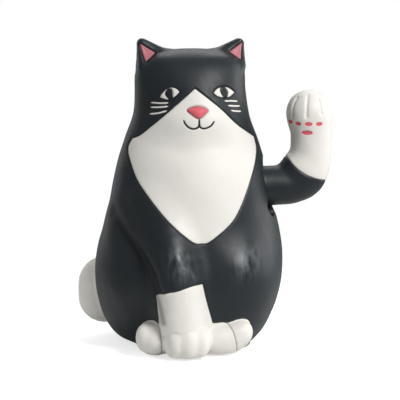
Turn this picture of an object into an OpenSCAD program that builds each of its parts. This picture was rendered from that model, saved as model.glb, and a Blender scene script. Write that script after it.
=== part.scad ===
// Waving cat figurine: a hollow seated cat whose raised arm rocks on a battery drive.
// Millimetres. The cat faces -Y, +Z is up, +X is its left, where the arm is raised.
// The origin is the centre of the felt on which it stands.

/* [Figure] */
// Height from the table to the ear tips
figure_h = 150; // [140:1:190]
// Greatest width of the torso without the arm and the tail
body_w = 91; // [86:1:120]
// Greatest depth of the torso without the paws
body_d = 86; // [80:1:120]
// Wall thickness of the hollow casting
wall_t = 3; // [2:0.1:4]
// Thickness of the felt under the base
felt_t = 0.8; // [0.5:0.1:1.5]

/* [Legs and tail] */
// Radius of the front leg at its white sock
leg_r = 10; // [8:0.1:12]
// Radius of the thick curled tail
tail_r = 14; // [10:0.1:16]

/* [Waving arm] */
// Height of the centre line of the upper arm
shoulder_h = 78; // [74:0.5:86]
// Distance of the arm and its drive in front of the middle
arm_front = 6; // [2:0.5:8]
// Reach of the forearm's centre line from the middle plane
arm_reach = 58; // [54:0.5:80]
// Radius of the upper arm
arm_r = 9.8; // [8:0.1:11]
// Radius of the paw
paw_r = 11.4; // [9:0.1:13]
// Height from the shoulder line to the top of the paw
arm_h = 48; // [42:0.1:60]
// Wall thickness of the hollow arm
arm_wall = 2.2; // [1.6:0.1:3]
// Swing of the arm to each side of rest, in degrees
swing = 8; // [4:1:9]
// Clearance between the arm and the opening in the casting, at the end of the swing
arm_gap = 1.2; // [0.8:0.1:2]

/* [Base] */
// Radius of the round ends of the base opening
base_r = 26; // [24:0.5:28]
// Distance between the centres of the round ends
base_l = 12; // [10:0.5:16]
// Thickness of the base plate
plate_t = 2.4; // [2:0.1:3]
// Play between the base plate and its opening
plate_gap = 0.3; // [0.1:0.05:0.5]
// Radius of the base screws
screw_r = 1.1; // [0.8:0.05:1.4]
// Radius of the base screw heads
head_r = 2.2; // [1.8:0.1:2.8]

/* [Battery] */
// Diameter of the cell
cell_d = 10.5; // [10:0.1:11]
// Length of the cell with its nub
cell_l = 44.5; // [43:0.1:46]
// Play around the cell
cell_gap = 0.25; // [0.1:0.05:0.5]
// Wall of the battery box
box_t = 1.2; // [1:0.1:1.6]
// Thickness of the battery door
door_t = 1.6; // [1.2:0.1:2]

/* [Drive] */
// Distance of the pivot from the middle plane
pivot_x = 12; // [11:0.5:13]
// Radius of the pivot pin
pin_r = 1.25; // [1:0.05:1.5]
// Running clearance of the bush on the pin
pin_gap = 0.05; // [0.03:0.01:0.1]
// Half of the space between the two uprights
fork_half = 10; // [9.6:0.1:10.4]
// Thickness of the uprights
fork_t = 2.4; // [2:0.1:3]
// Thickness of the swing lever
lever_t = 7; // [6:0.1:8]
// Radius of the drive magnet
magnet_r = 6; // [5:0.1:7]
// Thickness of the drive magnet
magnet_t = 5; // [4:0.1:6]
// Air gap between the magnet and the coil
air_gap = 2.6; // [2:0.1:4]
// Width of the counterweight along the figure's width
weight_w = 10.8; // [10:0.1:14]
// Travel of the switch knob
knob_travel = 3; // [2:0.1:3.5]

/* [Hidden] */
$fn = 48;
eps = 0.01;

// The torso and head as cross-sections: height, half width, reach to the front and to the
// back, for a figure 150 high, 91 wide and 86 deep. Every section is a rounded oval.
ref_h = 150;
ref_w = 91;
ref_d = 86;
sections = [
    [0.8, 30.5, 33.5, 35], [3, 33.2, 36.5, 37.5], [7, 35.8, 39, 39.5], [12, 38.3, 40.6, 41],
    [18, 40.7, 41.6, 42], [25, 42.7, 42.2, 43.2], [33, 44.3, 42, 43.8], [42, 45.5, 41.4, 43.6],
    [50, 45.1, 40.6, 42.6], [57, 44, 39.8, 41.4], [64, 42.4, 38.9, 40], [72, 40.4, 37.6, 38.2],
    [80, 38.8, 36, 36.2], [88, 37.2, 33.9, 34], [95, 35.4, 31.2, 31.6], [101, 33.3, 28.6, 29],
    [107, 31, 26.8, 26.6], [113, 29.2, 26.2, 25], [119, 28.2, 25.8, 24.2], [126, 27.6, 24.4, 23.6],
    [132, 27.4, 22.4, 22.4], [136.5, 26.8, 20, 20.6], [139.8, 25, 17, 17.8],
    [142.6, 21, 13, 13.6], [144.5, 14.5, 8.6, 9], [145.3, 6, 4, 4]];
side_points = 44;

function scaled_h(z) = z * figure_h / ref_h;
function half_width(z) = lookup(z, [for (s = sections) [scaled_h(s[0]), s[1] * body_w / ref_w]]);
function front(z) = lookup(z, [for (s = sections) [scaled_h(s[0]), s[2] * body_d / ref_d]]);
function back(z) = lookup(z, [for (s = sections) [scaled_h(s[0]), s[3] * body_d / ref_d]]);
function across(s, cut) = s[1] * body_w / ref_w - cut;
function along(s, a, cut) = (sin(a) < 0 ? s[2] : s[3]) * body_d / ref_d - cut;

// One ring of the torso at section s, moved inwards by cut
function ring(s, cut, n) = [for (i = [0:n - 1]) let (a = 360 * i / n)
    [across(s, cut) * cos(a), along(s, a, cut) * sin(a), scaled_h(s[0])]];

// Joins rings of n points each, listed from the bottom up, into one closed solid
module loft(rings, n) {
    m = len(rings);
    points = [for (r = rings) each r];
    sides = [for (k = [0:m - 2], i = [0:n - 1]) let (j = (i + 1) % n)
        [k * n + i, (k + 1) * n + i, (k + 1) * n + j, k * n + j]];
    polyhedron(points, concat([[for (i = [0:n - 1]) i]], sides,
        [[for (i = [n - 1:-1:0]) (m - 1) * n + i]]), convexity = 6);
}

// A smooth curve through chosen points, with steps points on each stretch
function curve_at(p0, p1, p2, p3, t) = 0.5 * (2 * p1 + (p2 - p0) * t
    + (2 * p0 - 5 * p1 + 4 * p2 - p3) * t * t + (3 * p1 - p0 - 3 * p2 + p3) * t * t * t);
function curve(p, steps) = let (q = concat([2 * p[0] - p[1]], p, [2 * p[len(p) - 1] - p[len(p) - 2]]))
    concat([for (i = [1:len(q) - 3], k = [0:steps - 1])
        curve_at(q[i - 1], q[i], q[i + 1], q[i + 2], k / steps)], [p[len(p) - 1]]);
function unit(v) = v / norm(v);
function tangent(p, i) = unit(p[min(i + 1, len(p) - 1)] - p[max(i - 1, 0)]);
// A direction square to the tangent that turns as little as possible along the path
function carry(n, t) = unit(n - (n * t) * t);
function normals(p, i, n) = i >= len(p) ? []
    : let (m = carry(n, tangent(p, i))) concat([m], normals(p, i + 1, m));

// A round wire of radius r along path p, whose first cross-section leans on direction up
module wire(p, r, up = [0, 0, 1]) {
    sides = 8;
    n = normals(p, 0, carry(up, tangent(p, 0)));
    loft([for (i = [0:len(p) - 1]) let (t = tangent(p, i), b = cross(n[i], t))
        [for (k = [0:sides - 1]) p[i] + r * (cos(360 * k / sides) * n[i] - sin(360 * k / sides) * b)]],
        sides);
}

// A chain of balls [x, y, z, radius], each hulled to the next
module chain(balls, facets = 24) {
    for (i = [0:len(balls) - 2]) hull() {
        ball(balls[i], facets);
        ball(balls[i + 1], facets);
    }
}
module ball(b, facets = 24) {
    translate([b[0], b[1], b[2]]) sphere(r = b[3], $fn = facets);
}

// A cylinder along +Y from y0 to y1
module rod_y(x, z, r, y0, y1, facets = 48) {
    translate([x, y0, z]) rotate([-90, 0, 0]) cylinder(r = r, h = y1 - y0, $fn = facets);
}

// A box from its lowest to its highest corner
module box(low, high) {
    translate(low) cube(high - low);
}

// The outline of the base, a rectangle with round ends at the front and the back
module base_shape(r, z0, z1) {
    for (s = [-1, 1]) translate([0, s * base_l / 2, z0]) cylinder(r = r, h = z1 - z0, $fn = 96);
    box([-r, -base_l / 2, z0], [r, base_l / 2, z1]);
}

// Levels of the base
foot_z = felt_t;
plate_top = foot_z + plate_t;
flange_top = plate_top + 1.1;

// Base screws and the lugs that they enter
lug_r = 3.2;
lug_h = 8.8;
lugs = [[base_r - 10, -base_l / 2 - 17.5], [base_r - 10, base_l / 2 + 17.5], [4.5 - base_r, 0]];
head_t = 1;
screw_l = 8;
pilot_gap = 0.05;

// Drive plane and pivot
mech_y = -arm_front;
pivot_z = shoulder_h - 1;
fork_out = fork_half + fork_t;
pin_out = fork_out + 2.2;
clip_t = 0.6;
clip_r = 3;
groove_r = pin_r - 0.35;
fork_gap = 0.02;
frame_t = 2;
frame_top = plate_top + frame_t;
fork_foot = 6.5;
fork_head = 4;
flange_l = 5.6;
tab_x = pivot_x - 3.5;
tab_half = 3;
frame_screw_y = fork_out + flange_l / 2;
frame_screw_r = 0.9;

// Coil
coil_r = 9;
core_r = 4;
coil_out = coil_r + 0.25;
bobbin_lip = 1.2;
coil_top = 18.4;

// Lever, magnet and weight
hub_r = 4.6;
hub_half = fork_half - 0.4;
bush_wall = 0.7;
bush_r = pin_r + pin_gap + bush_wall;
bush_gap = 0.01;
magnet_z = coil_top + air_gap;
holder_t = 3;
rod_w = 5;
socket_x = 25;
tongue_t = 3;
tongue_h = 6;
tongue_gap = 0.05;
tongue_in = 7.5;
stub_x = half_width(shoulder_h) - 5.6;
flange_t = 1.6;
weight_x = -18;
weight_z = pivot_z - 16;
weight_h = 12;
weight_half = 8;
tab_t = 3;
lever_screw_r = 1;

// Opening for the arm in the side of the casting
slot_half_w = arm_r + arm_gap;
slot_half_h = arm_r + sin(swing) * (half_width(shoulder_h) - pivot_x) + arm_gap;

// Battery box
cell_x = -8;
cell_r = cell_d / 2;
door_top = foot_z + door_t;
cell_z = door_top + cell_gap + cell_r;
bay_half_w = cell_r + cell_gap;
strip_t = 0.4;
spring_l = 4.7;
bay_half_l = (cell_l + spring_l + 2 * strip_t) / 2;
roof_z = cell_z + cell_r + cell_gap;
box_top = roof_z + box_t;
strip_w = 7;
strip_low = 4;
strip_top = box_top + 2;
slit_gap = 0.2;
door_gap = 0.3;
hinge_y = bay_half_l - 1.6;
hinge_r = 1.3;
hinge_z = foot_z + hinge_r;
hinge_pin_r = 0.8;
hinge_pin_l = 1.1;
hinge_gap = 0.08;
hinge_w = 2;
rib_h = 0.5;

// Switch
switch_x = base_r - 4.6;
switch_y = 5.5;
switch_w = 4.4;
switch_l = 10;
switch_h = 4.6;
knob_w = 2;
knob_l = 2.6;
knob_gap = 0.2;
knob_top = plate_top + 2;
knob_low = foot_z - 0.4;

// Circuit board
board_low = [-0.4, 13];
board_high = [11.6, 27];
board_z = plate_top + 3;
board_t = 1.2;
board_top = board_z + board_t;
board_posts = [[2, 15.4], [9.2, 24.6]];
post_r = 1.8;
board_screw_r = 0.7;

// Leads
lead_r = 0.6;
coil_lead_r = 0.3;
lead_gap = 0.1;
lead_steps = 4;

// ---------------------------------------------------------------- casting

// The front of the torso at a height, as a place for what stands out of it
function belly(z) = -front(z);
leg_x = -12;
paw_x = -8.5;

module torso() {
    loft([for (s = sections) ring(s, 0, side_points)], side_points);
}

// A thigh, an ellipsoid that swells out of the side of the torso
module haunch(side) {
    reach = half_width(42) + (side < 0 ? 2.4 : -0.4);
    z = side < 0 ? 33.6 : 38;
    translate([side * (reach - 19), 2, z]) scale([19, 36, 33]) sphere(r = 1, $fn = 32);
}

module front_leg() {
    y = belly(20);
    chain([[leg_x - 6, y + 10, 66, leg_r - 2], [leg_x - 2, y + 3, 46, leg_r],
        [leg_x, y + 0.5, 30, leg_r], [paw_x - 2, y, 14, leg_r - 0.5]]);
    hull() {
        ball([paw_x - 4.5, y - 0.5, foot_z + 8.2, 8.2]);
        ball([paw_x + 4.5, y - 0.5, foot_z + 8.2, 8.2]);
        ball([paw_x, y - 4.8, foot_z + 7.6, 7.6]);
        ball([paw_x, y + 4, foot_z + 9, 9]);
    }
}

// The other front leg is the raised one, so the hind feet and one front paw stand
module hind_foot(x, y) {
    hull() {
        ball([x - 3.6, y, foot_z + 7, 7]);
        ball([x + 3.6, y, foot_z + 7, 7]);
        ball([x, y + 12, foot_z + 8, 8]);
    }
}

module ear(side) {
    z = scaled_h(132);
    x = half_width(z);
    tip = figure_h - 1.2;
    hull() {
        ball([side * (x - 3.4), 3.5, z, 3.4], 16);
        ball([side * (x - 15), 3.5, z + 7, 3.4], 16);
        ball([side * (x - 2.4), -1.5, z + 2, 2.4], 16);
        ball([side * (x - 13), -2.5, z + 8, 2.4], 16);
        ball([side * (x - 2.4), 1.5, tip, 1.2], 16);
    }
}

// The tail leaves the back, curls round the cat's right side and ends in a fat round tip
module tail() {
    y = back(25);
    x = half_width(25);
    chain([[0, y - 8, tail_r + foot_z, tail_r - 3], [-16, y - 8.5, tail_r + foot_z + 2, tail_r - 1],
        [-28, y - 15, 21, tail_r], [2 - x, y - 27, 23.6, tail_r]]);
}

module nose() {
    z = scaled_h(113);
    y = -front(z);
    hull() {
        ball([-3, y + 0.8, z + 1.6, 1.6], 16);
        ball([3, y + 0.8, z + 1.6, 1.6], 16);
        ball([0, y + 0.6, z - 2, 1.4], 16);
    }
}

// The hollow inside, which follows the torso and ends in a dome in the head
module hollow() {
    inner = [for (s = sections) if (s[0] > 3 && s[0] < 137) s];
    n = 32;
    low = [0, half_width(flange_top) * ref_w / body_w, front(flange_top) * ref_d / body_d,
        back(flange_top) * ref_d / body_d];
    bottom = [for (p = ring(low, wall_t, n)) [p[0], p[1], flange_top]];
    loft(concat([bottom], [for (s = inner) if (scaled_h(s[0]) > flange_top + 1) ring(s, wall_t, n)]), n);
}

module arm_slot() {
    x = half_width(shoulder_h);
    hull() for (s = [-1, 1])
        translate([x - 12, mech_y, shoulder_h + s * (slot_half_h - slot_half_w)])
            rotate([0, 90, 0]) cylinder(r = slot_half_w, h = 30, $fn = 48);
}

// A lug that holds a base screw, reaching inwards from the rim over the plate
module lug(p) {
    out = p * (1 + 3.4 / norm(p));
    hull() {
        translate([p[0], p[1], plate_top]) cylinder(r = lug_r, h = lug_h, $fn = 32);
        translate([out[0], out[1], plate_top]) cylinder(r = lug_r, h = lug_h - 2, $fn = 32);
    }
}

module body_casting() {
    color([0.2, 0.22, 0.24]) difference() {
        union() {
            difference() {
                intersection() {
                    union() {
                        torso();
                        for (s = [-1, 1]) haunch(s);
                        front_leg();
                        hind_foot(-22.5, belly(14) + 8);
                        hind_foot(15, belly(14) + 5.5);
                        for (s = [-1, 1]) ear(s);
                        tail();
                        nose();
                    }
                    box([-200, -200, foot_z], [200, 200, 400]);
                }
                hollow();
                base_shape(base_r, foot_z - 1, flange_top + 1);
                arm_slot();
            }
            for (p = lugs) lug(p);
        }
        for (p = lugs) translate([p[0], p[1], foot_z])
            cylinder(r = screw_r + pilot_gap, h = screw_l + 1, $fn = 32);
    }
}

// ---------------------------------------------------------------- base

felt_r = base_r + 2.6;
felt_cut = 0.8;

module felt_pad() {
    color([0.13, 0.13, 0.14]) difference() {
        base_shape(felt_r, 0, felt_t);
        box([cell_x - bay_half_w - felt_cut, -bay_half_l - felt_cut, -1],
            [cell_x + bay_half_w + felt_cut, bay_half_l + felt_cut, felt_t + 1]);
        box([switch_x - knob_w / 2 - felt_cut, switch_y - switch_l / 2 + felt_cut, -1],
            [switch_x + knob_w / 2 + felt_cut, switch_y + switch_l / 2 - felt_cut, felt_t + 1]);
    }
}

module base_plate() {
    wall = bay_half_w + box_t;
    end = bay_half_l + box_t;
    slot_half = (knob_l + knob_travel) / 2 + knob_gap;
    color([0.86, 0.85, 0.82]) difference() {
        union() {
            base_shape(base_r - plate_gap, foot_z, plate_top);
            box([cell_x - wall, -end, foot_z + eps], [cell_x + wall, end, box_top]);
            for (p = board_posts) translate([p[0], p[1], plate_top - eps])
                cylinder(r = post_r, h = board_z - plate_top + eps);
        }
        box([cell_x - bay_half_w, -bay_half_l, foot_z - 1], [cell_x + bay_half_w, bay_half_l, roof_z]);
        for (s = [-1, 1]) let (y = s * (bay_half_l - strip_t / 2))
            box([cell_x - strip_w / 2 - slit_gap, y - strip_t / 2 - slit_gap, roof_z - 1],
                [cell_x + strip_w / 2 + slit_gap, y + strip_t / 2 + slit_gap, box_top + 1]);
        for (s = [-1, 1]) translate([cell_x + s * (bay_half_w + hinge_pin_l / 2), hinge_y, hinge_z])
            rotate([0, 90, 0])
            cylinder(r = hinge_pin_r + hinge_gap, h = hinge_pin_l + 0.2, center = true);
        box([switch_x - knob_w / 2 - knob_gap, switch_y - slot_half, foot_z - 1],
            [switch_x + knob_w / 2 + knob_gap, switch_y + slot_half, plate_top + 1]);
        for (p = lugs) translate([p[0], p[1], foot_z - 1]) {
            cylinder(r = screw_r + 0.2, h = plate_t + 2);
            cylinder(r = head_r + 0.2, h = 1 + head_t);
        }
        for (s = [-1, 1]) translate([tab_x, mech_y + s * frame_screw_y, foot_z + 0.4])
            cylinder(r = frame_screw_r + pilot_gap, h = plate_t);
        for (p = board_posts) translate([p[0], p[1], plate_top])
            cylinder(r = board_screw_r + pilot_gap, h = 4);
    }
}

// A screw whose head lies below z and whose shank points up
module screw_up(x, y, z, shank_r, shank_l, cap_r, cap_t) {
    translate([x, y, z]) difference() {
        union() {
            cylinder(r = cap_r, h = cap_t, $fn = 32);
            cylinder(r = shank_r, h = shank_l, $fn = 32);
        }
        for (a = [0, 90]) rotate([0, 0, a]) box([-cap_r * 0.6, -0.2, -1], [cap_r * 0.6, 0.2, cap_t / 2]);
    }
}

module screw_down(x, y, z, shank_r, shank_l, cap_r, cap_t) {
    translate([0, 0, 2 * z]) mirror([0, 0, 1]) screw_up(x, y, z, shank_r, shank_l, cap_r, cap_t);
}

module base_screws() {
    color([0.75, 0.76, 0.78])
        for (p = lugs) screw_up(p[0], p[1], foot_z, screw_r, screw_l, head_r, head_t);
}

// ---------------------------------------------------------------- drive frame

module upright(side) {
    y0 = mech_y + (side > 0 ? fork_half : -fork_out);
    difference() {
        translate([pivot_x, y0 + fork_t, 0]) rotate([90, 0, 0]) linear_extrude(fork_t)
            polygon([[-fork_foot, plate_top], [fork_foot, plate_top], [fork_head, pivot_z + 2],
                [fork_head - 2, pivot_z + 5], [2 - fork_head, pivot_z + 5], [-fork_head, pivot_z + 2]]);
        rod_y(pivot_x, pivot_z, pin_r + fork_gap, y0 - 1, y0 + fork_t + 1);
    }
}

module swing_frame() {
    color([0.93, 0.92, 0.88]) difference() {
        union() {
            box([pivot_x - fork_foot, mech_y - fork_out, plate_top],
                [pivot_x + fork_foot, mech_y + fork_out, frame_top]);
            box([tab_x - tab_half, mech_y - fork_out - flange_l, plate_top],
                [tab_x + tab_half, mech_y + fork_out + flange_l, frame_top]);
            for (s = [-1, 1]) upright(s);
            for (s = [-1, 1], x = [-fork_foot, fork_foot - 1.6])
                translate([pivot_x + x + 1.6, mech_y, 0]) rotate([90, 0, -90]) linear_extrude(1.6)
                polygon([[s * (fork_half + eps), plate_top], [s * (fork_half + eps), 20],
                    [s * (fork_half - 0.8), frame_top + 2], [s * (fork_half - 0.8), plate_top]]);
        }
        for (s = [-1, 1]) translate([tab_x, mech_y + s * frame_screw_y, plate_top - 1])
            cylinder(r = frame_screw_r + 0.15, h = frame_t + 2);
    }
}

module frame_screws() {
    color([0.75, 0.76, 0.78]) for (s = [-1, 1])
        screw_down(tab_x, mech_y + s * frame_screw_y, frame_top + 1.2, frame_screw_r, 5.2, 1.9, 1.2);
}

module pivot_pin() {
    color([0.8, 0.81, 0.83]) difference() {
        rod_y(pivot_x, pivot_z, pin_r, mech_y - pin_out, mech_y + pin_out);
        for (s = [-1, 1]) let (y = mech_y + s * (fork_out + 0.2 + clip_t / 2)) difference() {
            rod_y(pivot_x, pivot_z, pin_r + 1, y - clip_t / 2 - 0.05, y + clip_t / 2 + 0.05);
            rod_y(pivot_x, pivot_z, groove_r, y - 1, y + 1);
        }
    }
}

module pin_clips() {
    color([0.35, 0.36, 0.38]) for (s = [-1, 1]) let (y = mech_y + s * (fork_out + 0.2 + clip_t / 2))
        difference() {
            rod_y(pivot_x, pivot_z, clip_r, y - clip_t / 2, y + clip_t / 2);
            rod_y(pivot_x, pivot_z, groove_r + 0.05, y - 1, y + 1);
            box([pivot_x - groove_r * 0.7, y - 1, pivot_z - clip_r - 1],
                [pivot_x + groove_r * 0.7, y + 1, pivot_z]);
            for (a = [-1, 1]) rod_y(pivot_x + a * 2, pivot_z - 0.4, 0.55, y - 1, y + 1, 24);
        }
}

module coil_bobbin() {
    color([0.92, 0.9, 0.84]) translate([pivot_x, mech_y, 0]) difference() {
        union() {
            translate([0, 0, frame_top]) cylinder(r = coil_r, h = bobbin_lip);
            translate([0, 0, frame_top]) cylinder(r = core_r, h = coil_top - frame_top);
            translate([0, 0, coil_top - bobbin_lip]) cylinder(r = coil_r, h = bobbin_lip);
        }
        translate([0, 0, frame_top - 1]) cylinder(r = core_r - 1.4, h = coil_top);
    }
}

module drive_coil() {
    color([0.72, 0.38, 0.2]) translate([pivot_x, mech_y, frame_top + bobbin_lip]) difference() {
        cylinder(r = coil_r - 0.7, h = coil_top - frame_top - 2 * bobbin_lip);
        translate([0, 0, -1]) cylinder(r = core_r, h = coil_top);
    }
}

// ---------------------------------------------------------------- circuit

module circuit_board() {
    color([0.12, 0.36, 0.2]) difference() {
        box([board_low[0], board_low[1], board_z], [board_high[0], board_high[1], board_top]);
        for (p = board_posts) translate([p[0], p[1], board_z - 1])
            cylinder(r = board_screw_r + 0.2, h = board_t + 2);
    }
}

module board_components() {
    z = board_top;
    color([0.16, 0.16, 0.17]) {
        box([4, 17.5, z], [8, 21.5, z + 1.6]);
        box([8.6, 15, z], [10.8, 17.8, z + 1.2]);
    }
    color([0.15, 0.2, 0.42]) translate([2, 24.4, z]) cylinder(r = 1.7, h = 5.5, $fn = 32);
    color([0.75, 0.62, 0.42]) for (y = [23.6, 25.4]) box([5, y, z], [7.2, y + 1, z + 0.8]);
}

module board_screws() {
    color([0.75, 0.76, 0.78]) for (p = board_posts)
        screw_down(p[0], p[1], board_top + 0.9, board_screw_r, 4.6, 1.4, 0.9);
}

module battery_cell() {
    y1 = bay_half_l - strip_t;
    color([0.16, 0.34, 0.6]) {
        rod_y(cell_x, cell_z, cell_r, y1 - cell_l, y1 - 1);
        rod_y(cell_x, cell_z, 1.9, y1 - 1 - eps, y1, 32);
    }
}

module contact_strip(y) {
    box([cell_x - strip_w / 2, y, strip_low], [cell_x + strip_w / 2, y + strip_t, roof_z - 0.1]);
    box([cell_x - strip_w / 2, y, roof_z - 0.1 - eps], [cell_x + strip_w / 2, y + strip_t, strip_top]);
}

module contact_plate() {
    color([0.82, 0.82, 0.8]) contact_strip(bay_half_l - strip_t);
}

module contact_spring() {
    turns = 3;
    wire_r = 0.35;
    steps = 14;
    y0 = strip_t - bay_half_l;
    span = spring_l - wire_r - 0.05;
    color([0.82, 0.82, 0.8]) {
        contact_strip(-bay_half_l);
        wire([for (i = [0:turns * steps]) let (t = i / (turns * steps), a = 360 * i / steps,
            r = 3.2 - 1.2 * t) [cell_x + r * cos(a), y0 + span * t, cell_z + r * sin(a)]], wire_r, [1, 0, 0]);
    }
}

module switch_body() {
    slot_half = (knob_l + knob_travel) / 2 + knob_gap;
    color([0.2, 0.2, 0.21]) difference() {
        box([switch_x - switch_w / 2, switch_y - switch_l / 2, plate_top],
            [switch_x + switch_w / 2, switch_y + switch_l / 2, plate_top + switch_h]);
        box([switch_x - knob_w / 2 - knob_gap, switch_y - slot_half, plate_top - 1],
            [switch_x + knob_w / 2 + knob_gap, switch_y + slot_half, knob_top + knob_gap]);
    }
}

module red_lead() {
    color([0.75, 0.1, 0.1]) wire(curve([[cell_x + 2, bay_half_l - strip_t - lead_r, strip_top - 0.9],
        [cell_x + 4.6, bay_half_l - 1.2, strip_top - 0.5], [-1.2, 23.4, 16], [0.8, 21.8, 13],
        [1.4, 20.6, 9.8], [1.4, 20.4, board_top + lead_gap]], lead_steps), lead_r);
}

module black_leads() {
    switch_top = plate_top + switch_h;
    color([0.1, 0.1, 0.11]) {
        wire(curve([[cell_x + 2, strip_t - bay_half_l + lead_r, strip_top - 0.9],
            [cell_x + 4.6, 1.2 - bay_half_l, strip_top - 0.6], [-0.6, -21, 15.4], [1.2, -16, 11.5],
            [0.6, -6, 8.5], [0.8, 5, 8], [4.5, 10.6, 10], [12, 12, 11.4], [18, 9.6, 11.4],
            [switch_x - 0.2, switch_y + 2, 10.4], [switch_x, switch_y + 1.8, switch_top + lead_gap]],
            lead_steps), lead_r);
        wire(curve([[switch_x, switch_y + 3.8, switch_top + lead_gap], [switch_x, switch_y + 4, 10.2],
            [19.4, 13, 12.2], [14.6, 17.4, 12], [9.8, 19.6, 10], [9.4, 20, board_top + lead_gap]],
            lead_steps), lead_r);
    }
}

module coil_leads() {
    color([0.6, 0.32, 0.16]) for (k = [0, 1])
        wire(curve([[pivot_x - coil_out * cos(20 - 30 * k), mech_y + coil_out * sin(20 - 30 * k),
            frame_top + 0.7], [2.5 - 1.2 * k, 1 - 3 * k, 6.2], [2.6 - 1.2 * k, 4, 5.8],
            [3.4 - 1.2 * k, 10, 6.6], [4.8 - 1.2 * k, 13.8, 9.8], [5.4 - 1.2 * k, 15.4, 9.2],
            [5.4 - 1.2 * k, 15.6, board_top + lead_gap]], lead_steps), coil_lead_r);
}

// ---------------------------------------------------------------- door and knob

module battery_door() {
    half_w = bay_half_w - door_gap;
    color([0.84, 0.83, 0.8]) {
        box([cell_x - half_w, door_gap - bay_half_l, foot_z], [cell_x + half_w, hinge_y, door_top]);
        for (s = [-1, 1]) translate([cell_x + s * (half_w - hinge_w / 2), hinge_y, hinge_z])
            rotate([0, 90, 0]) cylinder(r = hinge_r, h = hinge_w, center = true);
        for (s = [-1, 1])
            translate([cell_x + s * (half_w + (hinge_pin_l - hinge_gap) / 2 - 0.5), hinge_y, hinge_z])
            rotate([0, 90, 0]) cylinder(r = hinge_pin_r, h = hinge_pin_l + 1, center = true);
        for (k = [0:3]) box([cell_x - 3, 3 - bay_half_l + 1.4 * k, foot_z - rib_h],
            [cell_x + 3, 3.6 - bay_half_l + 1.4 * k, foot_z + eps]);
    }
}

module switch_knob() {
    y = switch_y - knob_travel / 2;
    color([0.15, 0.15, 0.16]) {
        box([switch_x - knob_w / 2, y - knob_l / 2, knob_low],
            [switch_x + knob_w / 2, y + knob_l / 2, knob_top]);
    }
}

// ---------------------------------------------------------------- arm and lever

// The centre line of the arm from inside the body over the elbow to the paw, with radii
arm_top = shoulder_h + arm_h;
arm_line = [
    [stub_x, mech_y, shoulder_h, arm_r],
    [arm_reach - 9, mech_y, shoulder_h + 0.3, arm_r + 0.2],
    [arm_reach - 2.6, mech_y, shoulder_h + 3, arm_r + 0.4],
    [arm_reach + 0.2, mech_y, shoulder_h + 9.5, arm_r + 0.3],
    [arm_reach + 0.3, mech_y, shoulder_h + 19, arm_r - 0.4],
    [arm_reach, mech_y, arm_top - paw_r - 5, paw_r - 0.2],
    [arm_reach, mech_y, arm_top - paw_r, paw_r]];

module waving_arm() {
    color([0.9, 0.9, 0.88]) difference() {
        chain(arm_line, 32);
        chain([for (b = arm_line) [b[0], b[1], b[2], b[3] - arm_wall]], 20);
        box([stub_x - 2 * arm_r, mech_y - 20, shoulder_h - 20], [stub_x, mech_y + 20, shoulder_h + 20]);
    }
}

module arm_stub() {
    plug_r = arm_r - arm_wall - 0.25;
    color([0.3, 0.31, 0.33]) difference() {
        union() {
            translate([stub_x - flange_t, mech_y, shoulder_h]) rotate([0, 90, 0]) {
                cylinder(r = arm_r - 0.4, h = flange_t);
                cylinder(r = plug_r, h = flange_t + 6);
            }
            box([socket_x - tongue_in, mech_y - tongue_t / 2, pivot_z - tongue_h / 2],
                [stub_x, mech_y + tongue_t / 2, pivot_z + tongue_h / 2]);
        }
        rod_y(socket_x - tongue_in / 2, pivot_z, lever_screw_r + 0.1, mech_y - 5, mech_y + 5);
    }
}

// A flat bar in the drive plane from [x, z] p to q, as wide as w and as thick as t
module bar(p, q, w, t) {
    d = q - p;
    n = unit([-d[1], d[0]]) * w / 2;
    translate([0, mech_y + t / 2, 0]) rotate([90, 0, 0]) linear_extrude(t)
        polygon([p + n, p - n, q - n, q + n]);
}

module swing_lever() {
    pivot = [pivot_x, pivot_z];
    weight = [weight_x, weight_z];
    inner = weight + [weight_w / 2 + 2.6, 0];
    holder_z = magnet_z + magnet_t;
    color([0.88, 0.87, 0.83]) difference() {
        union() {
            rod_y(pivot_x, pivot_z, hub_r, mech_y - hub_half, mech_y + hub_half);
            bar(pivot, [socket_x, pivot_z], tongue_h + 4, lever_t);
            bar(pivot, inner + [0, 3], rod_w + 1, lever_t);
            bar(inner + [1.2, 3.4], weight + [-2.5, 3], rod_w, tab_t);
            bar(pivot, [pivot_x, holder_z + 1], rod_w, rod_w);
            translate([pivot_x, mech_y, holder_z]) cylinder(r = magnet_r + 1, h = holder_t);
        }
        rod_y(pivot_x, pivot_z, bush_r + bush_gap, mech_y - hub_half - 1, mech_y + hub_half + 1);
        box([socket_x - tongue_in - 0.2, mech_y - tongue_t / 2 - tongue_gap,
            pivot_z - tongue_h / 2 - tongue_gap],
            [socket_x + 1, mech_y + tongue_t / 2 + tongue_gap, pivot_z + tongue_h / 2 + tongue_gap]);
        rod_y(socket_x - tongue_in / 2, pivot_z, lever_screw_r + 0.05, mech_y - lever_t, mech_y + lever_t);
        rod_y(weight_x, weight_z + 3, lever_screw_r + 0.05, mech_y - 5, mech_y + 5);
    }
}

module pivot_bush() {
    color([0.8, 0.65, 0.3]) difference() {
        rod_y(pivot_x, pivot_z, bush_r, mech_y - hub_half, mech_y + hub_half);
        rod_y(pivot_x, pivot_z, pin_r + pin_gap, mech_y - hub_half - 1, mech_y + hub_half + 1);
    }
}

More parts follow.
